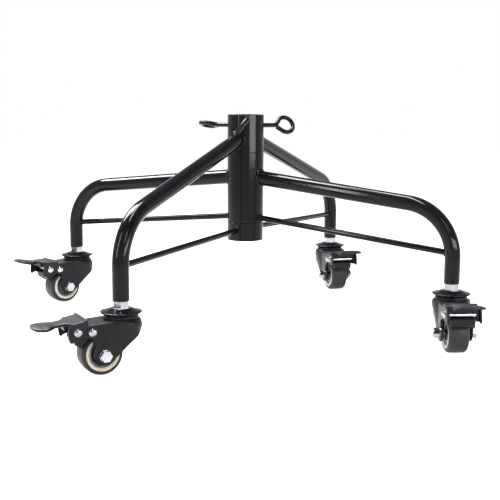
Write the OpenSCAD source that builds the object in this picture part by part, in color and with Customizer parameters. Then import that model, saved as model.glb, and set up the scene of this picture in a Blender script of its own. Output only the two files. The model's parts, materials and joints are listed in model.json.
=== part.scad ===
// Folding four-legged rolling pole stand.
// Units are millimetres. The origin is the centre of the pole socket's mouth, +Z up.
// Every module is drawn in heights above the floor; on_floor() moves it to the origin.

/* [Hub] */
// Height of the hub's top above the floor
hub_top = 290; // [280:1:300]
// Height of the hub's lower end above the floor
hub_bottom = 116.5; // [112:0.5:120]
// Height of the seam between bottom collar and turning sleeve
lower_seam = 141.5; // [138:0.5:143]
// Height of the seam between turning sleeve and top collar
upper_seam = 238.5; // [230:0.5:242]
// Outside radius of the hub
hub_r = 25; // [24.5:0.1:26]
// Radius of the socket that takes the pole
socket_r = 19; // [16:0.1:19.5]
// Wall of the inner tube
inner_wall = 3; // [2:0.1:3.2]

/* [Legs] */
// Distance from hub axis to caster stem
stem_circle_r = 300; // [280:1:320]
// Outside radius of a leg tube
leg_r = 10; // [9:0.1:11]
// Wall of a leg tube
leg_wall = 1.5; // [1.2:0.1:2]
// Height of a leg's lower end above the floor
leg_foot = 82.5; // [80:0.5:90]
// Radius of the bend, to the tube's centre line
bend_r = 67; // [55:1:75]
// Height at the hub of the legs that are welded to the top collar
fixed_leg_height = 255; // [252:0.5:258]
// Downward slope of those legs, degrees
fixed_leg_slope = 17.1; // [15:0.1:19]
// Height at the hub of the legs that are welded to the turning sleeve
folding_leg_height = 203.4; // [198:0.1:210]
// Downward slope of those legs, degrees
folding_leg_slope = 5.9; // [4:0.1:8]

// Turn of the folding pair from square, as the stand is left
stance = -1.1; // [-3:0.1:3]

/* [Braces] */
// Radius of a brace rod
brace_r = 4; // [3:0.1:5]
// Height of the fixed pair's braces at the hub
fixed_brace_hub = 131.3; // [126:0.1:134]
// Height of the fixed pair's braces at the leg
fixed_brace_leg = 122; // [118:0.5:126]
// Height of the folding pair's braces at the hub
folding_brace_hub = 148; // [147:0.5:155]
// Height of the folding pair's braces at the leg
folding_brace_leg = 120.5; // [118:0.5:126]

/* [Eye bolts] */
// Height of the eye bolts above the floor
eye_height = 275; // [265:1:280]
// Radius of the eye bolt's wire
eye_wire_r = 3; // [2.5:0.1:3.5]
// Centre-line radius of the ring
eye_ring_r = 11.6; // [10:0.1:14]
// Shank between hub and ring
eye_shank = 20; // [16:0.5:24]

/* [Casters] */
// Radius of the wheel
wheel_r = 25; // [24:0.5:26]
// Half the width of the tread
tread_half = 13; // [11:0.5:13.5]
// Distance from stem axis to wheel axle
trail = 26.5; // [24:0.5:28]
// Half the outside width of the fork
fork_half = 19.5; // [19:0.1:20]
// Thickness of the fork's steel
fork_wall = 2.5; // [2:0.1:2.6]
// Turn of the brake shoe from rest to locked, degrees
shoe_turn = 12; // [8:1:14]

/* [Hidden] */
$fn = 96;
hair = 0.05;               // running clearance, radial
end_gap = 0.2;             // gap between faces that turn past each other
cut = 1;                   // how far a cutting shape runs past a face
lap = 2;                   // how far a straight stretch of tube runs into the bend
bend_swell = 0.05;         // how much wider the bend is, so that the stretch ends inside it
leg_root = 12;             // how far a leg's bar starts inside the hub, before the hub cuts it
brace_root = 8;            // the same for a brace rod
bore_reach = 30;           // half the length of a shape that drills across a caster

inner_r = socket_r + inner_wall;
eye_ring_centre = hub_r + eye_shank + eye_ring_r + eye_wire_r;
eye_azimuths = [-111.4, 8.6, 128.6];
eye_rolls = [-36, -44, -75];  // turn of each ring about its shank, from upright
eye_names = ["front", "right", "left"];
eye_inset = 0.5;              // left between the screw's end and the pole's wall

// Caster stem: hexagon, stud and swivel pin
hex_flats = 17;
hex_turns = [10, 0, -14, 0];  // how far each stem is screwed round, degrees
hex_bottom = 74.5;
stud_r = 5;
stud_top = 106;
pin_head_r = 8;
pin_head_top = 58.6;
pin_head_bottom = 56.2;
insert_top = 104;

// Swivel head
plate_r = 24.2;
crown_top = 63.5;
race_top = 67.2;
race_r = 20.5;
race_inner_r = 18.2;
ball_r = 2.7;
ball_circle_r = 14.6;
ball_count = 14;
ball_seat = 0.2;           // gap between the crown and the balls

// Dished plate: radius and height, from the underside at the stud round the rim to the top
plate_outline = [
    [stud_r, 72.2],
    [11, 72.2],
    [race_r - 0.5, 68.6],
    [plate_r - 0.9, 68.3],
    [plate_r, 69.2],
    [plate_r - 0.5, 70.3],
    [12.5, hex_bottom],
    [stud_r, hex_bottom]
];

// Fork in plan: a round front that narrows to flat sides
drum_r = 24.5;
flat_start = 16;
flat_overlap = 6;                                    // where the flat sides start in the drum
crown_steps = [[0, -7.5], [-1.2, -3.5], [-3.4, 0]];  // rounding at the drum's top, from its corner

// Fork outline in side view: x is the distance behind the stem axis, y the height
axle = [trail, wheel_r];
lobe_centre = [trail - 0.5, wheel_r + 2];
lobe_r = 13;
nose = [-drum_r - 0.5, 54];
heel_x = 64;
heel_bottom = 46.5;
notch_r = 6;
roof_start = [12, crown_top];
roof_end = [52, 61];
heel_top = 60;
roof_thickness = 2.2;

// Brake
inner_pin = [40, 53];
outer_pin = [57.5, 54.8];
pin_r = 3;
rivet_r = 5;
rivet_height = 2.2;
cheek_wall = 1.8;
cheek_gap = 0.3;
boss_gap = 0.3;            // left between the shoe's boss and the fork's walls
shoe_gap = 0.3;            // left between shoe and tread when the brake is on
shoe_thickness = 3.4;
shoe_half = 11.5;
shoe_back_half = 14;
shoe_angles = [20, 62];     // of the lining round the axle, degrees
shoe_boss_r = 5.4;

// Back of the shoe in side view, which shows under the pedal's pin
shoe_back = [
    inner_pin - [0, 4],
    [51, 50.6],
    [60.5, 51],
    [62, 49],
    [61, 42],
    [57, 39],
    [50, 42]
];

// Pedal
hood_start = 48.5;
hood_end = 66;
hood_top = 67;
pedal_tip = 104;
spoon_half = 19;
waist_half = 10.5;
lug_half = 14;
pedal_raise = 6;           // how far the released pedal points up, degrees
pedal_travel = 18;         // from released to locked, degrees
cheek_outer = fork_half + cheek_gap + cheek_wall;
cheek_inner = fork_half + cheek_gap;
cheek_r = 8.2;             // round part of a cheek, about the outer pin
waist_x = hood_end + 9;
neck_r = cheek_outer + 1 - waist_half;
spoon_neck_r = 12;
tip_r = 34;
tip_length = 10;

// Top and underside of the pedal in side view, as distance behind the stem and height over the hood
pedal_outline = [
    [hood_start, -4],
    [hood_start, -1.2],
    [hood_start + 1.5, 0],
    [hood_end, 0.4],
    [78, 0.8],
    [88, 2.4],
    [97, 3.4],
    [103, 2.8],
    [pedal_tip, 1],
    [pedal_tip, -0.8],
    [98, -1.6],
    [88, -2.4],
    [78, -3.6],
    [hood_end, -3.2],
    [54, -3]
];

// Side wall of the hood, which hangs beside the fork and the shoe
cheek_outline = [
    [hood_start, hood_top - 3],
    [hood_start, 58],
    outer_pin,
    [66, 44],
    [69.5, 43.4],
    [71, 45],
    [hood_end, hood_top - 3]
];

// Stop bar under the pedal's root, between the cheeks
lug_outline = [
    [hood_end - 3, hood_top - 2.5],
    [hood_end - 1, 57],
    [hood_end + 6, 57],
    [hood_end + 7, hood_top - 2]
];

// Wheel
core_r = 19;
shoulder_r = 4;
core_half = 12.2;
bearing_r = 11;
bearing_width = 7;
bearing_face = 10.4;
bolt_r = 4;
bolt_flats = 12;
bolt_head = 5.5;
bolt_end = 0.8;            // bolt showing past its nut
nut_height = 6.8;
washer_height = 1.2;
washer_r = 6.9;
core_bore_r = bolt_r + 2.5;
core_inner = bearing_face - bearing_width;

// Half the core's profile, radius and height, from the bore out to its edge
core_half_profile = [
    [core_bore_r, core_inner],
    [bearing_r, core_inner],
    [bearing_r, bearing_face],
    [13, bearing_face],
    [14, core_half],
    [18, core_half],
    [core_r, core_half - 1]
];
shield_depth = 0.6;
shield_ring = [6, 9.6];    // radii of the bearing's sunk shield
shield_slope = 0.2;

black = [0.03, 0.03, 0.035];
steel = [0.75, 0.76, 0.78];
cream = [0.86, 0.82, 0.7];
rubber = [0.07, 0.07, 0.07];

// Corner order: the fixed pair is 0 and 1, the folding pair 2 and 3
corner_names = ["front_left", "back_right", "front_right", "back_left"];
leg_azimuths = [-135, 45, -45 + stance, 135 + stance];
trail_azimuths = [190, -91, -104.5, 203];
pedal_rests = [15, 0, 0, 4];  // how far each pedal is already pressed, degrees
caster_parts = [
    "stem", "top_plate", "swivel_balls", "fork", "tread", "wheel_core",
    "bearings", "axle_bolt", "pedal", "brake_pins", "brake_shoe"
];

function hex_r(flats) = flats / 2 / cos(30);

// ---------------------------------------------------------------- placing

module on_floor() {
    translate([0, 0, -hub_top]) children();
}

// Turns a side-view outline (x, height) into a solid between two values of y
module side_slab(y_low, y_high) {
    translate([0, y_high, 0]) rotate([90, 0, 0]) linear_extrude(y_high - y_low) children();
}

// The same slab on both sides of the middle plane
module both_sides(y_low, y_high) {
    side_slab(y_low, y_high) children();
    side_slab(-y_high, -y_low) children();
}

// A shaft or hole across the caster at a side-view point
module across(point, r, y_low, y_high, facets = 64) {
    translate([point[0], y_high, point[1]]) rotate([90, 0, 0])
        cylinder(r = r, h = y_high - y_low, $fn = facets);
}

module at_leg(corner) {
    on_floor() rotate([0, 0, leg_azimuths[corner]]) children();
}

module at_caster(corner) {
    on_floor() rotate([0, 0, leg_azimuths[corner]]) translate([stem_circle_r, 0, 0])
        rotate([0, 0, trail_azimuths[corner] - leg_azimuths[corner]]) children();
}

module at_eye(eye) {
    on_floor() rotate([0, 0, eye_azimuths[eye]]) translate([0, 0, eye_height]) children();
}

module turn_about(point, angle) {
    translate([point[0], 0, point[1]]) rotate([0, angle, 0])
        translate([-point[0], 0, -point[1]]) children();
}

// ---------------------------------------------------------------- hub

module pipe(outer, inner, low, high) {
    on_floor() difference() {
        translate([0, 0, low]) cylinder(r = outer, h = high - low);
        translate([0, 0, low - cut]) cylinder(r = inner, h = high - low + 2 * cut);
    }
}

module eye_holes() {
    for (eye = [0:2]) {
        at_eye(eye) rotate([0, 90, 0]) cylinder(r = eye_wire_r + hair, h = hub_r + cut, $fn = 48);
    }
}

module inner_tube() {
    color(black) difference() {
        pipe(inner_r, socket_r, hub_bottom, hub_top);
        eye_holes();
    }
}

module top_collar() {
    color(black) difference() {
        pipe(hub_r, inner_r, upper_seam, hub_top);
        eye_holes();
    }
}

module middle_sleeve() {
    color(black) pipe(hub_r, inner_r + hair, lower_seam + end_gap, upper_seam - end_gap);
}

module bottom_collar() {
    color(black) pipe(hub_r, inner_r, hub_bottom, lower_seam);
}

// ---------------------------------------------------------------- legs and braces

// Solid bar along a leg: slope, bend and upright
module leg_bar(r, height, slope, foot) {
    corner_height = height - tan(slope) * (stem_circle_r - hub_r);
    reach = bend_r * tan((90 - slope) / 2);
    bend_height = corner_height - reach;
    start = hub_r - leg_root;
    run = (stem_circle_r - reach * cos(slope) - start) / cos(slope) + lap;
    translate([start, 0, height + tan(slope) * (hub_r - start)]) rotate([0, 90 + slope, 0])
        cylinder(r = r, h = run, $fn = 64);
    translate([stem_circle_r - bend_r, 0, bend_height]) rotate([90, 0, 0])
        rotate_extrude(angle = 90 - slope, $fn = 96)
            translate([bend_r, 0]) circle(r = r + bend_swell, $fn = 64);
    translate([stem_circle_r, 0, foot]) cylinder(r = r, h = bend_height - foot + lap, $fn = 64);
}

module hub_cut(r) {
    translate([0, 0, hub_bottom - cut]) cylinder(r = r, h = hub_top - hub_bottom + 2 * cut);
}

module leg(corner) {
    height = corner < 2 ? fixed_leg_height : folding_leg_height;
    slope = corner < 2 ? fixed_leg_slope : folding_leg_slope;
    color(black) at_leg(corner) difference() {
        leg_bar(leg_r, height, slope, leg_foot);
        leg_bar(leg_r - leg_wall, height, slope, leg_foot - cut);
        hub_cut(hub_r);
    }
}

module brace(corner) {
    fixed = corner < 2;
    hub_end = fixed ? fixed_brace_hub : folding_brace_hub;
    leg_end = fixed ? fixed_brace_leg : folding_brace_leg;
    drop = hub_end - leg_end;
    span = stem_circle_r - hub_r;
    at_leg(corner) difference() {
        translate([hub_r, 0, hub_end]) rotate([0, 90 + atan(drop / span), 0])
            translate([0, 0, -brace_root]) cylinder(r = brace_r, h = span + brace_root, $fn = 48);
        hub_cut(hub_r);
        leg_bar(
            leg_r,
            fixed ? fixed_leg_height : folding_leg_height,
            fixed ? fixed_leg_slope : folding_leg_slope,
            leg_foot
        );
    }
}

module braces(corners) {
    color(black) for (corner = corners) brace(corner);
}

// Welded-in nut that the caster's stud screws into
module stem_inserts(corners) {
    color(steel) for (corner = corners) {
        at_leg(corner) translate([stem_circle_r, 0, leg_foot]) difference() {
            cylinder(r = leg_r - leg_wall, h = insert_top - leg_foot, $fn = 64);
            translate([0, 0, -cut]) cylinder(r = stud_r, h = insert_top, $fn = 48);
        }
    }
}

// ---------------------------------------------------------------- eye bolts

module eye_bolt(eye) {
    shank_start = socket_r + eye_inset;
    color(black) at_eye(eye) rotate([eye_rolls[eye], 0, 0]) {
        translate([shank_start, 0, 0]) rotate([0, 90, 0])
            cylinder(r = eye_wire_r, h = eye_ring_centre - eye_ring_r - shank_start, $fn = 48);
        translate([eye_ring_centre, 0, 0]) rotate([90, 0, 0])
            rotate_extrude($fn = 96) translate([eye_ring_r, 0]) circle(r = eye_wire_r, $fn = 48);
    }
}

// ---------------------------------------------------------------- caster: fixed pieces

module stem(turn) {
    color(steel) {
        translate([0, 0, leg_foot]) cylinder(r = stud_r, h = stud_top - leg_foot, $fn = 48);
        translate([0, 0, hex_bottom]) rotate([0, 0, turn])
            cylinder(r = hex_r(hex_flats), h = leg_foot - hex_bottom, $fn = 6);
        translate([0, 0, pin_head_top]) cylinder(r = stud_r, h = hex_bottom - pin_head_top, $fn = 48);
        translate([0, 0, pin_head_bottom])
            cylinder(r = pin_head_r, h = pin_head_top - pin_head_bottom, $fn = 48);
    }
}

module top_plate() {
    color(black) rotate_extrude() polygon(plate_outline);
}

// ---------------------------------------------------------------- caster: swivelling pieces

module swivel_balls() {
    color(steel) for (i = [0:ball_count - 1]) {
        rotate([0, 0, i * 360 / ball_count])
            translate([ball_circle_r, 0, crown_top + ball_r + ball_seat])
                sphere(r = ball_r, $fn = 24);
    }
}

// Point where the round front meets the line to the flat side
function shoulder(r, side) =
    let (
        far = norm([flat_start, side]),
        angle = atan2(side, flat_start) + acos(r / far)
    )
    r * [cos(angle), sin(angle)];

module fork_plan(inset) {
    r = drum_r - inset;
    side = fork_half - inset;
    touch = shoulder(r, side);
    circle(r = r);
    polygon([
        [0, -touch[1]],
        [touch[0], -touch[1]],
        [flat_start, -side],
        [heel_x + cut + inset, -side],
        [heel_x + cut + inset, side],
        [flat_start, side],
        [touch[0], touch[1]],
        [0, touch[1]]
    ]);
}

// Side view of the fork's walls, nose at the left and pedal end at the right
module fork_side() {
    to_lobe = lobe_centre - nose;
    far = norm(to_lobe);
    slant = atan2(to_lobe[1], to_lobe[0]) - asin(lobe_r / far);
    touch = nose + sqrt(far * far - lobe_r * lobe_r) * [cos(slant), sin(slant)];
    lobe_back = lobe_centre[0] + lobe_r;
    translate(lobe_centre) circle(r = lobe_r, $fn = 96);
    difference() {
        polygon([
            [nose[0], crown_top],
            nose,
            touch,
            lobe_centre,
            [lobe_back, lobe_centre[1]],
            [lobe_back, heel_bottom - notch_r],
            [lobe_back + notch_r, heel_bottom],
            [heel_x, heel_bottom],
            [heel_x, heel_top],
            roof_end,
            roof_start
        ]);
        translate([lobe_back + notch_r, heel_bottom - notch_r]) circle(r = notch_r, $fn = 64);
    }
}

module fork_roof_side() {
    polygon([
        roof_start,
        roof_end,
        roof_end - [0, roof_thickness],
        roof_start - [0, fork_wall]
    ]);
}

// The drum and the flat sides as one solid, from the bottom height to the top less the inset
module fork_solid(inset, bottom) {
    corner = [drum_r - inset, crown_top - inset];
    rotate_extrude() polygon(concat(
        [[0, bottom], [corner[0], bottom]],
        [for (step = crown_steps) corner + step],
        [[0, corner[1]]]
    ));
    translate([0, 0, bottom]) linear_extrude(corner[1] - bottom) intersection() {
        fork_plan(inset);
        translate([flat_overlap, -2 * drum_r]) square([heel_x, 4 * drum_r]);
    }
}

module fork() {
    color(black) difference() {
        union() {
            intersection() {
                difference() {
                    fork_solid(0, 0);
                    fork_solid(fork_wall, -cut);
                }
                side_slab(-bore_reach, bore_reach) fork_side();
            }
            side_slab(-fork_half + fork_wall / 2, fork_half - fork_wall / 2) fork_roof_side();
            translate([0, 0, crown_top]) difference() {
                cylinder(r = race_r, h = race_top - crown_top);
                translate([0, 0, -cut]) cylinder(r = race_inner_r, h = race_top);
            }
        }
        translate([0, 0, crown_top - 2 * fork_wall]) cylinder(r = stud_r + hair, h = race_top, $fn = 48);
        across(axle, bolt_r, -bore_reach, bore_reach);
        across(inner_pin, pin_r, -bore_reach, bore_reach);
        across(outer_pin, pin_r, -bore_reach, bore_reach);
    }
}

module axle_bolt() {
    head_in = fork_half + washer_height;
    color(steel) {
        across(axle, bolt_r, -head_in - nut_height - bolt_end, head_in);
        across(axle, washer_r, fork_half, head_in);
        across(axle, hex_r(bolt_flats), head_in, head_in + bolt_head, 6);
        difference() {
            union() {
                across(axle, washer_r, -head_in, -fork_half);
                across(axle, hex_r(bolt_flats), -head_in - nut_height, -head_in, 6);
            }
            across(axle, bolt_r, -2 * bore_reach, 0);
        }
    }
}

module brake_pins() {
    color(steel) {
        across(outer_pin, pin_r, -cheek_outer, cheek_outer);
        across(inner_pin, pin_r, -fork_half, fork_half);
        for (side = [-1, 1]) {
            rivet_head(inner_pin, side, fork_half);
            rivet_head(outer_pin, side, cheek_outer);
        }
    }
}

// Low dome on the outside of a plate
module rivet_head(point, side, face) {
    dome_r = (rivet_r * rivet_r + rivet_height * rivet_height) / (2 * rivet_height);
    translate([point[0], side * face, point[1]]) rotate([-side * 90, 0, 0]) intersection() {
        translate([0, 0, rivet_height - dome_r]) sphere(r = dome_r, $fn = 96);
        cylinder(r = rivet_r, h = rivet_height + cut, $fn = 48);
    }
}

// ---------------------------------------------------------------- caster: wheel

module on_axle() {
    translate([axle[0], 0, axle[1]]) rotate([90, 0, 0]) children();
}

module tread() {
    depth = wheel_r - core_r;
    color(rubber) on_axle() rotate_extrude($fn = 128) intersection() {
        translate([core_r, -tread_half]) square([depth, 2 * tread_half]);
        union() {
            translate([core_r, -tread_half]) square([depth - shoulder_r, 2 * tread_half]);
            translate([core_r, -tread_half + shoulder_r])
                square([depth, 2 * (tread_half - shoulder_r)]);
            for (side = [-1, 1]) {
                translate([wheel_r - shoulder_r, side * (tread_half - shoulder_r)])
                    circle(r = shoulder_r, $fn = 48);
            }
        }
    }
}

module wheel_core() {
    last = len(core_half_profile) - 1;
    color(cream) on_axle() rotate_extrude($fn = 128) polygon(concat(
        [for (point = core_half_profile) [point[0], -point[1]]],
        [for (i = [last:-1:0]) core_half_profile[i]]
    ));
}

// Shielded ball bearing, one on each side of the core
module bearings() {
    shield = bearing_width - shield_depth;
    color(steel) for (side = [0, 1]) {
        on_axle() mirror([0, 0, side]) translate([0, 0, core_inner]) rotate_extrude() polygon([
            [bolt_r + hair, 0],
            [bearing_r, 0],
            [bearing_r, bearing_width],
            [shield_ring[1], bearing_width],
            [shield_ring[1] - shield_slope, shield],
            [shield_ring[0] + shield_slope, shield],
            [shield_ring[0], bearing_width],
            [bolt_r + hair, bearing_width]
        ]);
    }
}

// ---------------------------------------------------------------- caster: brake

module ring_sector_side(r_in, r_out, from, to) {
    difference() {
        polygon([
            [0, 0],
            [2 * r_out * cos(from), 2 * r_out * sin(from)],
            [2 * r_out * cos((from + to) / 2), 2 * r_out * sin((from + to) / 2)],
            [2 * r_out * cos(to), 2 * r_out * sin(to)]
        ]);
        circle(r = r_in, $fn = 128);
        difference() {
            circle(r = 4 * r_out, $fn = 64);
            circle(r = r_out, $fn = 128);
        }
    }
}

// The lining is drawn against the tread, then swung back about its pin to the released place,
// and it is clear of the tread at both
module brake_shoe() {
    shoe_in = wheel_r + shoe_gap;
    boss_half = fork_half - fork_wall - boss_gap;
    color(black) difference() {
        union() {
            turn_about(inner_pin, -shoe_turn) side_slab(-shoe_half, shoe_half) translate(axle)
                ring_sector_side(shoe_in, shoe_in + shoe_thickness, shoe_angles[0], shoe_angles[1]);
            side_slab(-shoe_back_half, shoe_back_half) polygon(shoe_back);
            across(inner_pin, shoe_boss_r, -boss_half, boss_half);
        }
        across(inner_pin, pin_r + hair, -bore_reach, bore_reach);
        for (angle = [-shoe_turn, 0]) {
            turn_about(inner_pin, angle) across(axle, shoe_in, -bore_reach, bore_reach, 128);
        }
    }
}

// Outline from above: square hood, narrow waist, wide round-ended tread
module pedal_plan() {
    translate([hood_start, -cheek_outer]) square([hood_end - hood_start, 2 * cheek_outer]);
    difference() {
        translate([hood_end - cut, -cheek_outer]) square([waist_x - hood_end + cut, 2 * cheek_outer]);
        for (side = [-1, 1]) {
            translate([waist_x, side * (waist_half + neck_r)]) circle(r = neck_r, $fn = 96);
        }
    }
    difference() {
        translate([waist_x - cut, -spoon_half])
            square([pedal_tip - tip_length - waist_x + cut, 2 * spoon_half]);
        for (side = [-1, 1]) {
            translate([waist_x, side * (waist_half + spoon_neck_r)])
                circle(r = spoon_neck_r, $fn = 96);
        }
    }
    intersection() {
        translate([pedal_tip - tip_r, 0]) circle(r = tip_r, $fn = 96);
        translate([pedal_tip - 2 * tip_length, -spoon_half])
            square([3 * tip_length, 2 * spoon_half]);
    }
}

module pedal() {
    color(black) difference() {
        union() {
            intersection() {
                translate([0, 0, hood_top / 2]) linear_extrude(hood_top) pedal_plan();
                side_slab(-cheek_outer, cheek_outer)
                    polygon([for (point = pedal_outline) point + [0, hood_top]]);
            }
            both_sides(cheek_inner, cheek_outer) {
                translate(outer_pin) circle(r = cheek_r, $fn = 96);
                polygon(cheek_outline);
            }
            side_slab(-lug_half, lug_half) polygon(lug_outline);
        }
        across(outer_pin, pin_r + hair, -bore_reach, bore_reach);
    }
}

// ---------------------------------------------------------------- drawing

// A pedal that is partly pressed turns its shoe with it
module caster_part(part, corner) {
    pressed = pedal_rests[corner];
    if (part == "stem") stem(hex_turns[corner]);
    if (part == "top_plate") top_plate();
    if (part == "swivel_balls") swivel_balls();
    if (part == "fork") fork();
    if (part == "tread") tread();
    if (part == "wheel_core") wheel_core();
    if (part == "bearings") bearings();
    if (part == "axle_bolt") axle_bolt();
    if (part == "pedal") turn_about(outer_pin, pressed - pedal_raise) pedal();
    if (part == "brake_pins") brake_pins();
    if (part == "brake_shoe")
        turn_about(inner_pin, pressed * shoe_turn / pedal_travel) brake_shoe();
}

inner_tube();
top_collar();
middle_sleeve();
bottom_collar();
leg(0);  // leg_front_left
leg(1);  // leg_back_right
leg(2);  // leg_front_right
leg(3);  // leg_back_left
braces([0, 1]);  // braces_fixed_pair
braces([2, 3]);  // braces_folding_pair
stem_inserts([0, 1]);  // stem_inserts_fixed_pair
stem_inserts([2, 3]);  // stem_inserts_folding_pair
eye_bolt(0);  // eye_bolt_front
eye_bolt(1);  // eye_bolt_right
eye_bolt(2);  // eye_bolt_left
for (corner = [0:3], part = caster_parts) {
    union() {
        at_caster(corner) caster_part(part, corner);
    }
}
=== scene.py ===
"""Looks of the folding rolling pole stand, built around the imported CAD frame.

Each caster is modelled in its own axes, in millimetres: x behind the stem, y along the axle and
z above the floor. Those axes come from the record's joints, so every piece goes where the CAD says.
"""

import json
import math

import bmesh
import bpy
from mathutils import Matrix, Vector


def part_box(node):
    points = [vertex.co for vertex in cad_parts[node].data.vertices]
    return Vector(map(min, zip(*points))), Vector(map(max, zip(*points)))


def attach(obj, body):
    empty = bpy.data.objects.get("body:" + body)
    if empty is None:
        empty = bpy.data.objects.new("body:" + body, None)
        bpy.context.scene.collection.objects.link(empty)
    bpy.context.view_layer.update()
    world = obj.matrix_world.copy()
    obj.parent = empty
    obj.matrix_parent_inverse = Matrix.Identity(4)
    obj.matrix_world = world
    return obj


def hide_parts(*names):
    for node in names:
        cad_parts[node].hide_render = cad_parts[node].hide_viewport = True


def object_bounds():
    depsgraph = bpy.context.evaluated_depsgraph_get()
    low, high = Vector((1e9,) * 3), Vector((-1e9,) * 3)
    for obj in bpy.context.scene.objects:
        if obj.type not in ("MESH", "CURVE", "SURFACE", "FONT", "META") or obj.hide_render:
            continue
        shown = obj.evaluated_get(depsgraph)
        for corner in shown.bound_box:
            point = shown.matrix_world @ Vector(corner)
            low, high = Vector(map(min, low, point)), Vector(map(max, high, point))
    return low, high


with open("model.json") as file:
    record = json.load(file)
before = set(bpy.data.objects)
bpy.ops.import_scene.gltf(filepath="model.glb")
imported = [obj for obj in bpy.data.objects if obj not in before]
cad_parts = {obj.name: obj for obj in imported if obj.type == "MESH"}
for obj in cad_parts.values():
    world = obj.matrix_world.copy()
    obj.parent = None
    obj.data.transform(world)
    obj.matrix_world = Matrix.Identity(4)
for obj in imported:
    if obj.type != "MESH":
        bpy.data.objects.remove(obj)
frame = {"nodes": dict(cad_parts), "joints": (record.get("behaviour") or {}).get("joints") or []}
cad_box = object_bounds()
NODES = frame["nodes"]
JOINTS = {joint["name"]: joint for joint in frame["joints"]}

MM = 0.001
UP = Vector((0, 0, 1))
FLOOR = cad_box[0].z
HUB_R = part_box("top_collar")[1].y
STEM_REACH = Vector(JOINTS["front_left_swivel_turn"]["pos_m"]).xy.length
CORNERS = ["front_left", "back_right", "front_right", "back_left"]
FIXED_CORNERS = CORNERS[:2]

# Tubes and rods, in metres, for the pair of legs on each body
LEG_R = 0.010
LEG_ROOT_Z = {"fixed_frame": -0.035, "folding_frame": -0.0866}
LEG_SLOPE = {"fixed_frame": math.radians(17.1), "folding_frame": math.radians(5.9)}
BRACE_R = 0.004
BRACE_HUB_Z = {"fixed_frame": -0.1587, "folding_frame": -0.142}
BRACE_LEG_Z = {"fixed_frame": -0.168, "folding_frame": -0.1695}

# Weld beads, in metres
LEG_BEAD_R = 0.0021
BRACE_BEAD_R = 0.0015
BRACE_END_BEAD_R = 0.0014
BEAD_POINTS = 96
BEAD_RIPPLES = 15

# Eye bolts, in millimetres from the hub's axis; each ring is rolled about its shank, in degrees
EYE_WIRE_R = 3
EYE_RING_R = 11.4
EYE_RING_LIFT = 0.4
EYE_RING_ANGLES = (150, -132)
EYE_SHANK_START = 19.5
EYE_SHANK_STEPS = 16
EYE_NECKS = {"front": 45, "right": 46.5, "left": 48}
EYE_NECK_TO_CENTRE = 15.5
EYE_ROLLS = {"front": -36, "right": -31, "left": -75}
EYE_WIDTHS = {"front": 1.14, "right": 1.04, "left": 1.0}

# Fork, in millimetres: a round drum in front, flat sides, and a lobe that holds the axle
DRUM_R = 24.5
FORK_HALF = 19.5
FORK_WALL = 2.5
FLAT_START = 16
CROWN_TOP = 63.5
CROWN_START = 12
CROWN_FALL = 3.3
NOSE = Vector((-DRUM_R - 0.5, 54))
TUCK_HEIGHT = 18
LIP_START = 12
LIP_DEPTH = 1.6
LOBE_R = 13
LOBE_RISE = 2
HEEL_X = 64
HEEL_R = 3
HEEL_BOTTOM = 46.5
NOTCH_R = 6
EDGE_ROUND = 3.2
FRONT_ROUND_START = 6
FRONT_ROUND_LENGTH = 22
FRONT_ROUND_INSET = 1.6
FRONT_ROUND_RISE = 7.3
COLUMN_STEPS = 7
ROUND_STEPS = 6
ROOF_STRIPS = 8

# Race and top plate, in millimetres
RACE_R = 20.5
RACE_BORE_R = 18.2
RACE_TOP = 67.2
PLATE_R = 24.2

# Wheel, in millimetres
WHEEL_R = 25
CORE_R = 20.2
TREAD_HALF = 13
TREAD_SHOULDER = 4.6
TREAD_CROWN = 0.25
BEARING_R = 11
SEAT_R = 15.8
SEAT_DEPTH = 10.3
LIP_RADII = (14.4, 10.4)

# Pedal, in millimetres: a square hood, a narrow waist and a wide foot with a round end
PEDAL_START = 44.6
PEDAL_HALF = 21.6
HOOD_END = 63
WAIST_X = 75
WAIST_R = 12
WAIST_CENTRE = 22.5
FOOT_START = 86.5
FOOT_HALF = 19.0
FOOT_ROUND_START = 92
PEDAL_END = 104
PEDAL_WALL = 1.9
PEDAL_CORNER = 2.4
PEDAL_RAISE = 6
PEDAL_TOP = [
    (44.6, 66.9), (45.6, 67.6), (47.6, 67.6), (49, 66.4), (60, 66.3), (68, 66.8), (78, 67.6),
    (90, 69.6), (98, 70.2), (104, 69.4),
]
PEDAL_DEPTH = [(44.6, 3.6), (48, 3.6), (66, 3.4), (78, 3.6), (92, 3.2), (104, 2.4)]
RIBS = [94.5, 97.0, 99.5]
RIB_R = 0.55
EAR_R = 8.2
EAR_FACES = (19.8, 21.4)
LUG_HALF = 14

# View and light
CAMERA_PLACE = Vector((-0.3993, -1.3249, 0.02525))
CAMERA_YAW = math.radians(17.064)
CAMERA_PITCH = math.radians(8.803)
CAMERA_ROLL = math.radians(0.368)
CAMERA_LENS = 71.67
HORIZON = 1.0
CEILING = 0.25
FLOOR_HALF = 6.0


# ---------------------------------------------------------------- materials

PATCH_SCALE = 45
POLISH_SCALE = 260


def new_material(name):
    material = bpy.data.materials.new(name)
    material.use_nodes = True
    return material, material.node_tree, material.node_tree.nodes["Principled BSDF"]


def noise(tree, scale, detail):
    """Noise on the piece's own coordinates, in metres."""
    coords = tree.nodes.new("ShaderNodeTexCoord")
    texture = tree.nodes.new("ShaderNodeTexNoise")
    texture.inputs["Scale"].default_value = scale
    texture.inputs["Detail"].default_value = detail
    tree.links.new(coords.outputs["Object"], texture.inputs["Vector"])
    return texture.outputs["Fac"]


def remap(tree, value, low, high, start=0.3, end=0.7):
    """Maps a value, such as a noise between start and end, to a range of numbers."""
    node = tree.nodes.new("ShaderNodeMapRange")
    node.inputs["From Min"].default_value = start
    node.inputs["From Max"].default_value = end
    node.inputs["To Min"].default_value = low
    node.inputs["To Max"].default_value = high
    tree.links.new(value, node.inputs["Value"])
    return node.outputs["Result"]


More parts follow.
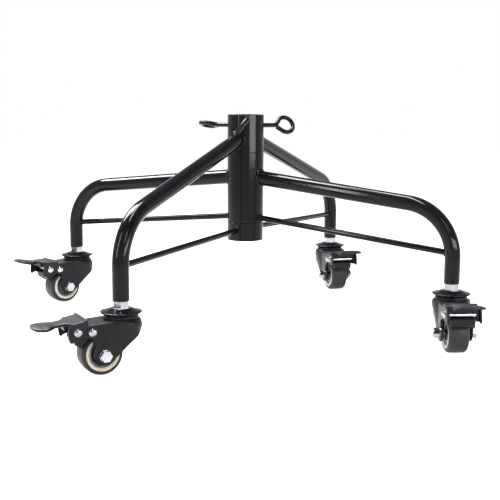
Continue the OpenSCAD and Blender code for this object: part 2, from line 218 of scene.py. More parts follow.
def two_colors(tree, value, first, second):
    node = tree.nodes.new("ShaderNodeValToRGB")
    node.color_ramp.elements[0].position = 0.35
    node.color_ramp.elements[0].color = (*first, 1)
    node.color_ramp.elements[1].position = 0.65
    node.color_ramp.elements[1].color = (*second, 1)
    tree.links.new(value, node.inputs["Fac"])
    return node.outputs["Color"]


def bump(tree, shader, height, strength, distance):
    node = tree.nodes.new("ShaderNodeBump")
    node.inputs["Strength"].default_value = strength
    node.inputs["Distance"].default_value = distance
    tree.links.new(height, node.inputs["Height"])
    tree.links.new(node.outputs["Normal"], shader.inputs["Normal"])


def surface(name, colors, roughness, grain, metallic=0.0, specular=0.5):
    """A finish whose colour and roughness vary a little, over a fine bump.

    colors: two colours that mix in patches; roughness: its lowest and highest value;
    grain: (scale, strength, distance) of the bump.
    """
    material, tree, shader = new_material(name)
    patches = noise(tree, PATCH_SCALE, 4)
    tree.links.new(two_colors(tree, patches, *colors), shader.inputs["Base Color"])
    fine = noise(tree, POLISH_SCALE, 4)
    tree.links.new(remap(tree, fine, *roughness), shader.inputs["Roughness"])
    scale, strength, distance = grain
    bump(tree, shader, noise(tree, scale, 2), strength, distance)
    shader.inputs["Metallic"].default_value = metallic
    shader.inputs["Specular IOR Level"].default_value = specular
    return material


ENAMEL = surface(
    "gloss_black_enamel", [(0.0025, 0.0025, 0.0035), (0.004, 0.004, 0.005)],
    (0.09, 0.15), (420, 0.05, 0.0004), specular=0.14,
)
PRESSING = surface(
    "satin_black_pressing", [(0.005, 0.005, 0.006), (0.008, 0.008, 0.010)],
    (0.28, 0.38), (900, 0.10, 0.0003), specular=0.13,
)
ZINC = surface(
    "bright_zinc", [(0.27, 0.28, 0.30), (0.40, 0.41, 0.43)],
    (0.12, 0.24), (1300, 0.06, 0.0002), metallic=1.0,
)
CREAM = surface(
    "cream_nylon", [(0.44, 0.385, 0.31), (0.52, 0.46, 0.375)],
    (0.32, 0.44), (700, 0.05, 0.0003), specular=0.35,
)
TREAD = surface(
    "black_polyurethane", [(0.011, 0.011, 0.013), (0.017, 0.017, 0.020)],
    (0.40, 0.54), (1100, 0.16, 0.0003), specular=0.22,
)
PLASTIC = surface(
    "black_moulded_plastic", [(0.008, 0.008, 0.010), (0.013, 0.013, 0.016)],
    (0.32, 0.44), (1900, 0.22, 0.0003), specular=0.15,
)
# Black steel for the brake shoe and the race; the same dark colour is also painted shade on the
# swivel balls under the plate, on the ring in each wheel's recess round the bearing and, in part,
# on the pedal's ears.
BLACK_STEEL_AND_PAINTED_SHADE = surface(
    "blackened_steel_and_painted_shade", [(0.004, 0.004, 0.005), (0.008, 0.008, 0.009)],
    (0.32, 0.46), (900, 0.10, 0.0003), specular=0.15,
)


# ---------------------------------------------------------------- mesh helpers

SMOOTH_BELOW = math.radians(32)
BEVEL_ABOVE = math.radians(35)


def paint(obj, material):
    obj.data.materials.clear()
    obj.data.materials.append(material)


def smooth(obj):
    for face in obj.data.polygons:
        face.use_smooth = True
    obj.data.set_sharp_from_angle(angle=SMOOTH_BELOW)


def piece(name, verts, faces, matrix, body, material, replaced=()):
    """A mesh made from points and faces, placed by the matrix and carried by a body."""
    mesh = bpy.data.meshes.new(name)
    mesh.from_pydata([tuple(v) for v in verts], [], faces)
    shape = bmesh.new()
    shape.from_mesh(mesh)
    bmesh.ops.remove_doubles(shape, verts=shape.verts, dist=1e-4)
    bmesh.ops.dissolve_degenerate(shape, edges=shape.edges, dist=1e-5)
    bmesh.ops.recalc_face_normals(shape, faces=shape.faces)
    shape.to_mesh(mesh)
    shape.free()
    mesh.transform(matrix)
    mesh.validate()
    obj = bpy.data.objects.new(name, mesh)
    bpy.context.scene.collection.objects.link(obj)
    paint(obj, material)
    smooth(obj)
    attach(obj, body)
    if replaced:
        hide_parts(*replaced)
    return obj


def finish_node(name, material, width):
    """Gives a CAD node its material and, by modifiers, softened edges of a width in millimetres."""
    obj = NODES[name]
    paint(obj, material)
    for attribute in ["custom_normal", "sharp_edge"]:
        if attribute in obj.data.attributes:
            obj.data.attributes.remove(obj.data.attributes[attribute])
    for face in obj.data.polygons:
        face.use_smooth = True
    weld = obj.modifiers.new("weld", "WELD")
    weld.merge_threshold = 0.002 * MM
    edge = obj.modifiers.new("edge", "BEVEL")
    edge.width = width * MM
    edge.segments = 2
    edge.limit_method = "ANGLE"
    edge.angle_limit = BEVEL_ABOVE
    edge.harden_normals = True


class Mesh:
    """Points and faces that grow part by part."""

    def __init__(self):
        self.verts = []
        self.faces = []

    def add(self, verts, faces):
        start = len(self.verts)
        self.verts += [Vector(v) for v in verts]
        self.faces += [[start + i for i in face] for face in faces]

    def rings(self, rings, closed=False):
        """Skins rings that have the same number of points; ends are capped unless closed."""
        count = len(rings[0])
        start = len(self.verts)
        for ring in rings:
            self.verts += [Vector(v) for v in ring]
        last = len(rings) if closed else len(rings) - 1
        for i in range(last):
            a = start + i * count
            b = start + (i + 1) % len(rings) * count
            for j in range(count):
                k = (j + 1) % count
                self.faces.append([a + j, a + k, b + k, b + j])
        if not closed:
            self.faces.append([start + j for j in range(count)][::-1])
            self.faces.append([start + (len(rings) - 1) * count + j for j in range(count)])

    def lathe(self, profile, place, segments=96):
        """Turns a closed profile of (radius, height); place(r, angle, height) gives each point."""
        turns = [2 * math.pi * i / segments for i in range(segments)]
        rings = [[place(r, angle, h) for r, h in profile] for angle in turns]
        self.rings(rings, closed=True)

    def plate(self, outline, y_low, y_high):
        """A flat plate whose outline is in side view, (x, z)."""
        self.rings([[(x, y, z) for x, z in outline] for y in (y_low, y_high)])


def upright(r, angle, h):
    return (r * math.cos(angle), r * math.sin(angle), h)


def flipped(profile):
    """A profile of (radius, height) on the other side of height 0, in reverse order."""
    return [(r, -h) for r, h in profile[::-1]]


def clamp(t):
    return max(0.0, min(1.0, t))


def ease(t):
    """From 0 to 1 with a soft start and end."""
    t = clamp(t)
    return t * t * (3 - 2 * t)


def between(start, end, t):
    """The point at t, from 0 to 1, on the way from start to end."""
    return Vector([a + (b - a) * t for a, b in zip(start, end)])


def arc(centre, r, start, end, count):
    """Points on an arc, angles in degrees."""
    angles = [math.radians(start + (end - start) * i / count) for i in range(count + 1)]
    return [(centre[0] + r * math.cos(a), centre[1] + r * math.sin(a)) for a in angles]


def resample(points, count):
    """Points evenly spread along a line through the given ones."""
    points = [Vector(p) for p in points]
    lengths = [0.0]
    for a, b in zip(points, points[1:]):
        lengths.append(lengths[-1] + (b - a).length)
    result = []
    at = 0
    for i in range(count):
        want = lengths[-1] * i / (count - 1)
        while at < len(points) - 2 and lengths[at + 1] < want:
            at += 1
        span = max(lengths[at + 1] - lengths[at], 1e-9)
        result.append(points[at].lerp(points[at + 1], min(1.0, (want - lengths[at]) / span)))
    return result


def relax(points, passes):
    """Smooths a line, ends kept."""
    points = [Vector(p) for p in points]
    for _ in range(passes):
        inner = [(a + 2 * b + c) / 4 for a, b, c in zip(points, points[1:], points[2:])]
        points = [points[0], *inner, points[-1]]
    return points


def sweep(path, radius, closed=False, sides=20):
    """Rings of a round wire along a path; radius is a number or a function of the index."""
    count = len(path)
    rings = []
    side = None
    for i, point in enumerate(path):
        if closed:
            ahead = path[(i + 1) % count] - path[i - 1]
        else:
            ahead = path[min(i + 1, count - 1)] - path[max(i - 1, 0)]
        ahead = ahead.normalized()
        if side is None:
            side = ahead.orthogonal().normalized()
        side = (side - ahead * side.dot(ahead)).normalized()
        other = ahead.cross(side)
        r = radius(i) if callable(radius) else radius
        turns = [2 * math.pi * k / sides for k in range(sides)]
        rings.append([point + (side * math.cos(t) + other * math.sin(t)) * r for t in turns])
    return rings


# ---------------------------------------------------------------- hub, legs and braces

def body_of_corner(corner):
    return "fixed_frame" if corner in FIXED_CORNERS else "folding_frame"


def weld_bead(name, body, origin, direction, bar_r, drum_axis, drum_r, bead_r, far_side):
    """A rippled bead where a round bar, through origin along direction, meets an upright drum.

    far_side: whether it lies where the bar leaves the drum, rather than where it enters.
    """
    direction = direction.normalized()
    side = direction.cross(UP).normalized()
    other = direction.cross(side)
    sign = 1 if far_side else -1
    path = []
    for i in range(BEAD_POINTS):
        angle = 2 * math.pi * i / BEAD_POINTS
        p = origin + (side * math.cos(angle) + other * math.sin(angle)) * (bar_r + bead_r * 0.25)
        flat = (p - drum_axis).xy
        along = direction.xy
        # Where the line from p meets the drum: a t^2 + b t + c = 0
        a = along.dot(along)
        b = 2 * flat.dot(along)
        c = flat.dot(flat) - (drum_r + bead_r * 0.1) ** 2
        root = math.sqrt(max(b * b - 4 * a * c, 0))
        path.append(p + direction * ((-b + sign * root) / (2 * a)))

    def thickness(i):
        wave = math.sin(2 * math.pi * BEAD_RIPPLES * i / BEAD_POINTS)
        return bead_r * (1 + 0.12 * wave + 0.06 * math.sin(5.3 * i))

    mesh = Mesh()
    mesh.rings(sweep(path, thickness, closed=True, sides=12), closed=True)
    piece(name, mesh.verts, mesh.faces, Matrix.Identity(4), body, ENAMEL)


def build_welds():
    """Beads where each leg and brace meets the hub, and where the brace meets its leg."""
    hub_axis = Vector((0, 0, 0))
    for corner in CORNERS:
        body = body_of_corner(corner)
        stem = Vector(JOINTS[f"{corner}_swivel_turn"]["pos_m"])
        outward = Vector((stem.x, stem.y, 0)).normalized()
        stem_axis = outward * STEM_REACH
        slope = LEG_SLOPE[body]
        down_leg = outward * math.cos(slope) - UP * math.sin(slope)
        leg_root = outward * HUB_R + UP * LEG_ROOT_Z[body]
        brace_root = outward * HUB_R + UP * BRACE_HUB_Z[body]
        brace_end = stem_axis + UP * BRACE_LEG_Z[body]
        down_brace = brace_end - brace_root
        weld_bead(
            f"weld_leg_{corner}", body, leg_root, down_leg, LEG_R,
            hub_axis, HUB_R, LEG_BEAD_R, True,
        )
        weld_bead(
            f"weld_brace_{corner}", body, brace_root, down_brace, BRACE_R,
            hub_axis, HUB_R, BRACE_BEAD_R, True,
        )
        weld_bead(
            f"weld_brace_end_{corner}", body, brace_end, down_brace, BRACE_R,
            stem_axis, LEG_R, BRACE_END_BEAD_R, False,
        )


def build_frame_looks():
    for name in ["inner_tube", "top_collar", "middle_sleeve", "bottom_collar"]:
        finish_node(name, ENAMEL, 0.45)
    for corner in CORNERS:
        finish_node(f"leg_{corner}", ENAMEL, 0.4)
    for name in ["braces_fixed_pair", "braces_folding_pair"]:
        finish_node(name, ENAMEL, 0.1)
    for name in ["stem_inserts_fixed_pair", "stem_inserts_folding_pair"]:
        finish_node(name, ZINC, 0.4)


def build_eye_bolt(eye):
    """Wire bent to a closed teardrop, whose end butts against the shank."""
    joint = JOINTS[f"eye_bolt_{eye}_slide"]
    outward = -Vector(joint["axis"])
    node = f"eye_bolt_{eye}"
    low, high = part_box(node)
    height = (low.z + high.z) / 2
    neck = EYE_NECKS[eye]
    centre = neck + EYE_NECK_TO_CENTRE
    width = EYE_WIDTHS[eye]
    ring = arc((centre, EYE_RING_LIFT), EYE_RING_R, *EYE_RING_ANGLES, 48)
    loop = [(x, y * width) for x, y in ring]
    step = (neck - EYE_SHANK_START) / EYE_SHANK_STEPS
    shank = [(EYE_SHANK_START + step * i, 0) for i in range(EYE_SHANK_STEPS + 1)]
    wire_end = [(neck + 4.2, -5.6), (neck + 0.6, -2.4)]
    line = [*shank, *loop, *wire_end]
    flat = relax(resample(line, 130), 8)
    roll = math.radians(EYE_ROLLS[eye])
    side = UP.cross(outward)
    in_plane = UP * math.cos(roll) - side * math.sin(roll)
    path = [(outward * p.x + in_plane * p.y) * MM + UP * height for p in flat]
    mesh = Mesh()
    mesh.rings(sweep(path, EYE_WIRE_R * MM, sides=24))
    piece(
        f"{node}_wire", mesh.verts, mesh.faces, Matrix.Identity(4), f"eye_screw_{eye}", ENAMEL,
        [node],
    )


# ---------------------------------------------------------------- casters

class Caster:
    """One caster's own axes and the places that its joints give, in millimetres."""

    def __init__(self, corner):
        self.corner = corner
        self.mount = body_of_corner(corner)
        self.swivel = f"{corner}_swivel"
        self.wheel = f"{corner}_wheel"
        stem = Vector(JOINTS[f"{corner}_swivel_turn"]["pos_m"])
        spin = JOINTS[f"{corner}_wheel_spin"]
        press = JOINTS[f"{corner}_pedal_press"]
        across = Vector(spin["axis"]).normalized()
        back = across.cross(UP)
        turn = Matrix((back, across, UP)).transposed().to_4x4()
        origin = Matrix.Translation((stem.x, stem.y, FLOOR))
        self.matrix = origin @ turn @ Matrix.Scale(MM, 4)
        inverse = self.matrix.inverted()
        self.axle = inverse @ Vector(spin["pos_m"])
        self.outer_pin = inverse @ Vector(press["pos_m"])
        # How far the pedal is pressed at rest, in degrees
        self.pressed = -press["range_deg"][0]

    def add(self, suffix, mesh, body, material, replaced=(), matrix=None):
        """Adds a piece, in this caster's axes unless a matrix is given.

        replaced: the endings of the names of the nodes that it stands for.
        """
        name = f"{self.corner}_{suffix}"
        nodes = [f"{self.corner}_{ending}" for ending in replaced]
        place = matrix or self.matrix
        return piece(name, mesh.verts, mesh.faces, place, body, material, nodes)

    def turned(self, pin, angle):
        """The caster's matrix after a turn about a pin, in degrees."""
        there = Matrix.Translation((pin.x, 0, pin.z))
        turn = Matrix.Rotation(math.radians(angle), 4, "Y")
        return self.matrix @ there @ turn @ there.inverted()

    def on_axle(self, r, angle, h):
        return (self.axle.x + r * math.cos(angle), h, self.axle.z + r * math.sin(angle))


def fork_plan():
    """Half outline from above, from the nose to the heel: round front, then a flat side."""
    far = math.hypot(FLAT_START, FORK_HALF)
    touch = math.degrees(math.atan2(FORK_HALF, FLAT_START) + math.acos(DRUM_R / far))
    front = arc((0, 0), DRUM_R, 180, touch, 28)
    x, y = front[-1]
    # A few points down the tangent that joins the two
    corner = [(x + 1.4 * i, y - 0.68 * i) for i in range(1, 4)]
    flat = [(FLAT_START + i, FORK_HALF) for i in range(3)]
    return relax([*front, *corner, *flat], 3)


def fork_lower_edge(axle):
    """Side view of the lower edge, from where the slant meets the lobe to the heel.

    Also gives that meeting point and the slant's fall.
    """
    lobe = Vector((axle.x - 0.5, axle.z + LOBE_RISE))
    to_lobe = lobe - NOSE
    slant = math.atan2(to_lobe.y, to_lobe.x) - math.asin(LOBE_R / to_lobe.length)
    reach = math.sqrt(to_lobe.length_squared - LOBE_R**2)
    touch = NOSE + Vector((math.cos(slant), math.sin(slant))) * reach
    start = math.degrees(math.atan2(touch.y - lobe.y, touch.x - lobe.x))
    back = lobe.x + LOBE_R
    edge = arc(lobe, LOBE_R, start, 0, 24)
    edge += arc((back + NOTCH_R, HEEL_BOTTOM - NOTCH_R), NOTCH_R, 180, 90, 8)
    edge += arc((HEEL_X - HEEL_R, HEEL_BOTTOM + HEEL_R), HEEL_R, -90, 0, 6)
    return edge, touch, math.tan(slant)


def roof_height(x):
    """The fork's roof falls gently towards the pedal."""
    return CROWN_TOP - CROWN_FALL * clamp((x - CROWN_START) / (HEEL_X - CROWN_START))


def fork_rims(axle):
    """Points along the fork's lower edge and, above each, the roof's outline from above.

    In front, the lower edge tucks in under the bulge and has a lip under the nose.
    """
    edge, touch, fall = fork_lower_edge(axle)
    lower = []
    upper = []
    for p in fork_plan():
        if p.x < touch.x - 0.3:
            z = NOSE.y + (p.x - NOSE.x) * fall
            tuck = ease((NOSE.y - z) / TUCK_HEIGHT)
            bulge = max(0.0, p.y - FORK_HALF)
            lip = LIP_DEPTH * max(0.0, (-p.x - LIP_START) / (DRUM_R - LIP_START))
            lower.append((p.x + lip, p.y - bulge * tuck, z))
            upper.append((p.x, p.y))
    lower_edge = resample([touch, *edge], 60)
    for i, p in enumerate(lower_edge):
        x = touch.x + (HEEL_X - touch.x) * i / (len(lower_edge) - 1)
        lower.append((p.x, FORK_HALF, p.y))
        upper.append((x, FORK_HALF))
    return lower, upper


def fork_column(low, high, outward):
    """Points from the lower edge up the side, then over the rounded edge to the roof."""
    x, y = high
    front = ease((FRONT_ROUND_START - x) / FRONT_ROUND_LENGTH)
    inset = EDGE_ROUND + FRONT_ROUND_INSET * front
    rise = EDGE_ROUND + FRONT_ROUND_RISE * front
    shoulder = roof_height(x) - rise
    column = [between(low, (x, y, shoulder), k / COLUMN_STEPS) for k in range(COLUMN_STEPS + 1)]
    for k in range(1, ROUND_STEPS + 1):
        angle = math.pi / 2 * k / ROUND_STEPS
        step = outward * inset * (1 - math.cos(angle))
        column.append(Vector((x - step.x, y - step.y, shoulder + rise * math.sin(angle))))
    return column


def fork_columns(caster):
    """Columns of points up one side of the fork, each from the lower edge to the roof."""
    lower, upper = fork_rims(caster.axle)
    columns = []
    for i, (low, high) in enumerate(zip(lower, upper)):
        before = Vector(upper[max(i - 1, 0)])
        after = Vector(upper[min(i + 1, len(upper) - 1)])
        along = (after - before).normalized()
        outward = Vector((-along.y, along.x)) if i else Vector((-1, 0))
        if outward.dot(Vector(high)) < 0:
            outward = -outward
        columns.append(fork_column(low, high, outward))
    return columns


def build_fork(caster):
    """Pressed-steel fork: one sheet with a bulged front, given its wall by a modifier."""
    half = fork_columns(caster)
    mirrored = [[Vector((p.x, -p.y, p.z)) for p in column] for column in half]
    columns = mirrored[::-1][:-1] + half
    rows = len(columns[0])
    sheet = Mesh()
    side_faces = []
    for i in range(len(columns) - 1):
        for k in range(rows - 1):
            a = i * rows + k
            side_faces.append([a, a + rows, a + rows + 1, a + 1])
    sheet.add([p for column in columns for p in column], side_faces)
    across = ROOF_STRIPS + 1
    middle = len(columns) // 2
    roof = []
    for left, right in zip(columns[:middle + 1], columns[::-1]):
        roof += [left[-1].lerp(right[-1], k / ROOF_STRIPS) for k in range(across)]
    roof_faces = []
    for i in range(middle):
        for k in range(ROOF_STRIPS):
            a = i * across + k
            roof_faces.append([a, a + across, a + across + 1, a + 1])
    sheet.add(roof, roof_faces)
    obj = caster.add("fork_pressing", sheet, caster.swivel, PRESSING, ["fork"])
    wall = obj.modifiers.new("wall", "SOLIDIFY")
    wall.thickness = FORK_WALL * MM
    wall.offset = -1


def build_race(caster):
    """The ring on the fork that turns under the plate."""
    foot = [
        (RACE_BORE_R, CROWN_TOP - 0.8), (RACE_R + 0.2, CROWN_TOP - 0.8),
        (RACE_R + 0.1, CROWN_TOP + 0.3), (RACE_R - 0.5, CROWN_TOP + 1.0),
    ]
    head = [
        (RACE_R - 0.5, RACE_TOP - 1.2), (RACE_R - 0.9, RACE_TOP - 0.4), (RACE_R - 1.5, RACE_TOP),
        (RACE_BORE_R + 0.6, RACE_TOP), (RACE_BORE_R, RACE_TOP - 0.5),
    ]
    race = Mesh()
    race.lathe([*foot, *head], upright)
    caster.add("race", race, caster.swivel, BLACK_STEEL_AND_PAINTED_SHADE)


def build_plate(caster):
    """Dished plate with a rolled rim, over the race."""
    underside = [(5, 72.2), (11, 72.2), (15, 70.8), (19.6, 69.1), (22, 68.9)]
    rim = arc((PLATE_R - 1.0, 69.9), 1.0, -90, 80, 8)
    top = [
        (21.8, 71.3), (18.5, 72.1), (15, 73.2), (13, 74.2), (12, 74.45), (11, 74.5), (5, 74.5),
    ]
    plate = Mesh()
    plate.lathe([*underside, *rim, *top], upright)
    caster.add("dished_plate", plate, caster.mount, ENAMEL, ["top_plate"])


def build_tread(caster):
    """Crowned tread with a moulding line round its middle."""
    centre = (WHEEL_R - TREAD_CROWN - TREAD_SHOULDER, TREAD_HALF - TREAD_SHOULDER)
    shoulder = arc(centre, TREAD_SHOULDER, 0, 90, 10)
    seam = [(WHEEL_R - 0.06, -0.5), (WHEEL_R, -0.15), (WHEEL_R, 0.15), (WHEEL_R - 0.06, 0.5)]
    band = [
        (CORE_R + 1.0, TREAD_HALF), (CORE_R + 0.7, TREAD_HALF - 0.3), (CORE_R, TREAD_HALF - 0.5),
    ]
    tread = Mesh()
    outline = [*flipped(band), *flipped(shoulder), *seam, *shoulder, *band]
    tread.lathe(outline, caster.on_axle, 128)
    caster.add("tyre", tread, caster.wheel, TREAD, ["tread"])


def build_core(caster):
    """Cream core with a groove in its face and a step down to the bearing."""
    rim = [
        (CORE_R + 0.05, 12.0), (CORE_R - 0.4, 12.5), (17.4, 12.6), (17.3, 11.7), (16.9, 11.7),
        (16.8, 12.5), (16.3, 12.5), (16.0, 12.2), (SEAT_R, 11.6), (SEAT_R, SEAT_DEPTH),
        (BEARING_R + 0.02, SEAT_DEPTH), (BEARING_R + 0.02, 3.4), (6.5, 3.4),
    ]
    core = Mesh()
    core.lathe([*rim, *flipped(rim)], caster.on_axle, 128)
    caster.add("core", core, caster.wheel, CREAM, ["wheel_core"])


def build_painted_shade_rings_and_lips(caster):
    """On each side, a dark ring of painted shade in the core's recess round the bearing, and bright
    lips on its edges.
    """
    low = SEAT_DEPTH + 0.05
    outer = SEAT_R - 0.02
    inner = BEARING_R + 0.1
    profile = [(outer, low), (outer, 11.1), (inner, 10.9), (inner, low)]
    for side, sign in (("left", 1), ("right", -1)):
        # The dark ring paints the shade that falls in the cream recess round each bearing.
        painted_shade_ring = Mesh()
        painted_shade_ring.lathe([(r, sign * h) for r, h in profile], caster.on_axle)
        caster.add(f"seat_{side}", painted_shade_ring, caster.wheel, BLACK_STEEL_AND_PAINTED_SHADE)
        lips = Mesh()
        for lip_r in LIP_RADII:
            ring = arc((lip_r, 10.9), 0.4, 0, 345, 12)
            lips.lathe([(r, sign * h) for r, h in ring], caster.on_axle)
        caster.add(f"lip_{side}", lips, caster.wheel, ZINC)


def pedal_half_width(x):
    """Half the pedal's width: square hood, waist cut by an arc, wide foot with a round end."""
    if x < HOOD_END:
        return PEDAL_HALF
    if x < WAIST_X:
        depth = math.sqrt(max((WAIST_R + 0.1) ** 2 - (x - WAIST_X) ** 2, 0))
        return min(PEDAL_HALF, WAIST_CENTRE + 0.1 - depth)
    if x < FOOT_START:
        return WAIST_CENTRE - math.sqrt(WAIST_R**2 - (x - WAIST_X) ** 2)
    if x < FOOT_ROUND_START:
        return FOOT_HALF
    t = (x - FOOT_ROUND_START) / (PEDAL_END - FOOT_ROUND_START)
    return FOOT_HALF * max(0.0, 1 - t**2.6) ** 0.42


def curve_through(points, x):
    """Smooth value at x through a few (x, value) points."""
    for (xa, a), (xb, b) in zip(points, points[1:]):
        if x <= xb:
            return a + (b - a) * ease((x - xa) / (xb - xa))
    return points[-1][1]


def pedal_section(x, width):
    """Closed outline across the pedal at x; the hood has short sides, the foot none."""
    top = curve_through(PEDAL_TOP, x)
    depth = curve_through(PEDAL_DEPTH, x)
    skirt = 6.0 * clamp((68 - x) / 5)
    droop = 0.5 + 2.2 * min(1.0, width / FOOT_HALF) ** 2 * clamp((x - 70) / 16)
    corner = min(PEDAL_CORNER, width * 0.5, depth * 0.62 if x > 70 else PEDAL_CORNER)
    wall = min(PEDAL_WALL, width * 0.6)

    def roof(y):
        return top - droop * (y / max(width, 1e-6)) ** 2

    half = [(y, roof(y)) for y in [(width - corner) * k / 8 for k in range(9)]]
    centre = (width - corner, roof(width - corner) - corner)
    half += arc(centre, corner, 78, 0, 5)
    low = roof(width) - depth - skirt + 0.6
    half += [(width, centre[1] - (centre[1] - low) * k / 3) for k in range(1, 4)]
    half += [(width - 0.5, low - 0.5), (width - wall + 0.3, low - 0.5), (width - wall, low)]
    under = roof(width - wall) - depth
    half += [(width - wall, low + (under - low) * k / 2) for k in range(1, 3)]
    inner = width - wall
    half += [(inner * k / 6, roof(inner * k / 6) - depth) for k in range(5, -1, -1)]
    mirror = [(-y, z) for y, z in half[1:-1][::-1]]
    return [(x, y, z) for y, z in half + mirror]


def pedal_stations():
    """Places of the pedal's sections, closer where its outline turns faster."""
    ridge = [PEDAL_START, 44.9, 45.3, 45.9, 46.6, 47.3, 48, 48.8, 49.6, 51]
    hood = [52.5 + 1.5 * i for i in range(7)]
    waist = [62.5 + 0.5 * i for i in range(12)]
    foot = [69 + 1.25 * i for i in range(20)]
    end = [PEDAL_END - 10.5 * (1 - math.sin(math.pi / 2 * i / 12)) for i in range(1, 13)]
    return [*ridge, *hood, *waist, *foot, *end]


def pedal_mesh():
    """Moulded pedal, with a ridge where its hood starts and ribs across its foot."""
    stations = pedal_stations()
    widths = [pedal_half_width(x) for x in stations]
    softened = relax([(x, w) for x, w in zip(stations, widths)], 5)
    first_cuts = {0: 0.7, 1: 0.35, 2: 0.1}
    rings = []
    for i, x in enumerate(stations):
        width = softened[i].y if x > HOOD_END else widths[i]
        rings.append(pedal_section(x, max(width - first_cuts.get(i, 0), 0.4)))
    mesh = Mesh()
    mesh.rings(rings)
    for x in RIBS:
        reach = pedal_half_width(x) - 4
        top = curve_through(PEDAL_TOP, x)
        line = [Vector((x, reach * (k / 12 * 2 - 1), 0)) for k in range(13)]
        for p in line:
            p.z = top - 2.6 * (p.y / FOOT_HALF) ** 2 - 0.25
        mesh.rings(sweep(line, RIB_R, sides=10))
    return mesh


def ears_mesh(pin):
    """Steel ears that hang the pedal on its pin, and the lug between them."""
    ear = arc((pin.x, pin.z), EAR_R, 150, 282, 20)
    ear += [
        (64.6, 45.6), (66.6, 44.4), (68.6, 45.2), (69.2, 48), (68.8, 56), (67.6, 62.6), (51, 62.9),
    ]
    mesh = Mesh()
    near, far = EAR_FACES
    mesh.plate(ear, near, far)
    mesh.plate(ear, -far, -near)
    lug = [(64.2, 63.6), (65.2, 59.2), (70.6, 59.2), (71.6, 64.2)]
    mesh.plate(lug, -LUG_HALF, LUG_HALF)
    return mesh


def build_pedal(caster):
    """The pedal and its ears, turned about their pin to where the pedal rests."""
    body = f"{caster.corner}_brake_pedal"
    matrix = caster.turned(caster.outer_pin, caster.pressed - PEDAL_RAISE)
    ears = ears_mesh(caster.outer_pin)
    # The ears are black steel; their colour, darker than the pedal's, is partly painted shade
    # between the rivets.
    caster.add("pedal_ears", ears, body, BLACK_STEEL_AND_PAINTED_SHADE, matrix=matrix)
    caster.add("foot_pedal", pedal_mesh(), body, PLASTIC, ["pedal"], matrix)


def build_caster(corner):
    caster = Caster(corner)
    build_fork(caster)
    build_race(caster)
    build_plate(caster)
    build_tread(caster)
    build_core(caster)
    build_painted_shade_rings_and_lips(caster)
    build_pedal(caster)
    finish_node(f"{corner}_stem", ZINC, 0.5)
    # The steel balls get the black steel colour: painted shade, as they sit in the shadow under the
    # plate.
    finish_node(f"{corner}_swivel_balls", BLACK_STEEL_AND_PAINTED_SHADE, 0.05)
    finish_node(f"{corner}_bearings", BLACK_STEEL_AND_PAINTED_SHADE, 0.2)
    finish_node(f"{corner}_axle_bolt", ZINC, 0.55)
    finish_node(f"{corner}_brake_pins", ZINC, 0.3)
    finish_node(f"{corner}_brake_shoe", BLACK_STEEL_AND_PAINTED_SHADE, 0.5)


# ---------------------------------------------------------------- stage, light and camera

def build_stage():
    """A pale floor that glows enough to run into the white surroundings."""
    material, _, shader = new_material("pale_floor")
    shader.inputs["Base Color"].default_value = (0.3, 0.3, 0.3, 1)
    shader.inputs["Roughness"].default_value = 0.9
    shader.inputs["Specular IOR Level"].default_value = 0.1
    shader.inputs["Emission Color"].default_value = (1, 1, 1, 1)
    shader.inputs["Emission Strength"].default_value = 0.9
    mesh = bpy.data.meshes.new("floor")
    signs = [(-1, -1), (1, -1), (1, 1), (-1, 1)]
    corners = [(x * FLOOR_HALF, y * FLOOR_HALF, FLOOR) for x, y in signs]
    mesh.from_pydata(corners, [], [[0, 1, 2, 3]])
    floor = bpy.data.objects.new("floor", mesh)
    bpy.context.scene.collection.objects.link(floor)
    paint(floor, material)


def area_light(name, place, target, size, power):
    data = bpy.data.lights.new(name, "AREA")
    data.shape = "RECTANGLE"
    data.size, data.size_y = size
    data.energy = power
    light = bpy.data.objects.new(name, data)
    light.location = place
    light.visible_camera = False
    aim = Vector(target) - Vector(place)
    light.rotation_mode = "QUATERNION"
    light.rotation_quaternion = aim.to_track_quat("-Z", "Y")
    bpy.context.scene.collection.objects.link(light)


def polar(azimuth, reach):
    """A level vector at an azimuth in degrees."""
    angle = math.radians(azimuth)
    return Vector((math.cos(angle), math.sin(angle), 0)) * reach


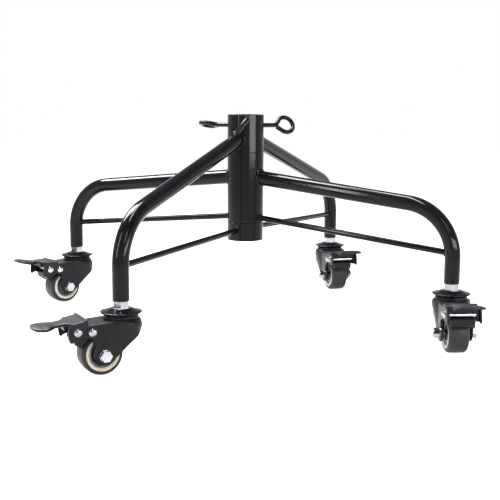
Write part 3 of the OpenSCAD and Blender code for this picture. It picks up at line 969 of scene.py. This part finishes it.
def camera_axes():
    """The camera's ahead, right and up."""
    level = Vector((math.sin(CAMERA_YAW), math.cos(CAMERA_YAW), 0))
    ahead = level * math.cos(CAMERA_PITCH) - UP * math.sin(CAMERA_PITCH)
    right = level.cross(UP)
    top = right.cross(ahead)
    turned_right = right * math.cos(CAMERA_ROLL) + top * math.sin(CAMERA_ROLL)
    return ahead, turned_right, turned_right.cross(ahead)


def build_light():
    """White round the horizon, a dim ceiling, and narrow strips that draw lines along the tubes."""
    world = bpy.data.worlds.new("studio")
    world.use_nodes = True
    tree = world.node_tree
    background = tree.nodes["Background"]
    coords = tree.nodes.new("ShaderNodeTexCoord")
    split = tree.nodes.new("ShaderNodeSeparateXYZ")
    tree.links.new(coords.outputs["Generated"], split.inputs["Vector"])
    strength = remap(tree, split.outputs["Z"], HORIZON, CEILING, 0.2, 0.5)
    tree.links.new(strength, background.inputs["Strength"])
    background.inputs["Color"].default_value = (1, 1, 1, 1)
    bpy.context.scene.world = world
    ahead, right, _ = camera_axes()
    level = Vector((ahead.x, ahead.y, 0)).normalized()
    low = Vector((0, 0, FLOOR + 0.24))
    area_light("hub_glow", low + polar(-62, 0.85), low, (0.60, 0.13), 3.6)
    area_light("left_strip", polar(-152, 1.1) + UP * 0.32, (0, 0, 0.1), (0.10, 0.7), 7)
    area_light("top", UP * 1.6 - level * 0.1, (0, 0, -0.12), (0.25, 1.6), 50)
    area_light("ridge", polar(136, 0.82) + UP * 1.2, (0, 0, -0.12), (0.62, 1.15), 120)
    area_light("fill", -level * 1.9 + right * 0.9 + UP * 1.1, (0, 0, -0.2), (0.7, 0.7), 9)


def build_camera():
    ahead, right, top = camera_axes()
    data = bpy.data.cameras.new("camera")
    data.lens = CAMERA_LENS
    data.sensor_width = 36
    camera = bpy.data.objects.new("camera", data)
    camera.location = CAMERA_PLACE
    camera.rotation_mode = "QUATERNION"
    camera.rotation_quaternion = Matrix((right, top, -ahead)).transposed().to_quaternion()
    bpy.context.scene.collection.objects.link(camera)
    bpy.context.scene.camera = camera


build_frame_looks()
build_welds()
for eye_name in EYE_ROLLS:
    build_eye_bolt(eye_name)
for corner_name in CORNERS:
    build_caster(corner_name)
build_stage()
build_light()
build_camera()
bpy.context.scene.view_settings.view_transform = "Standard"
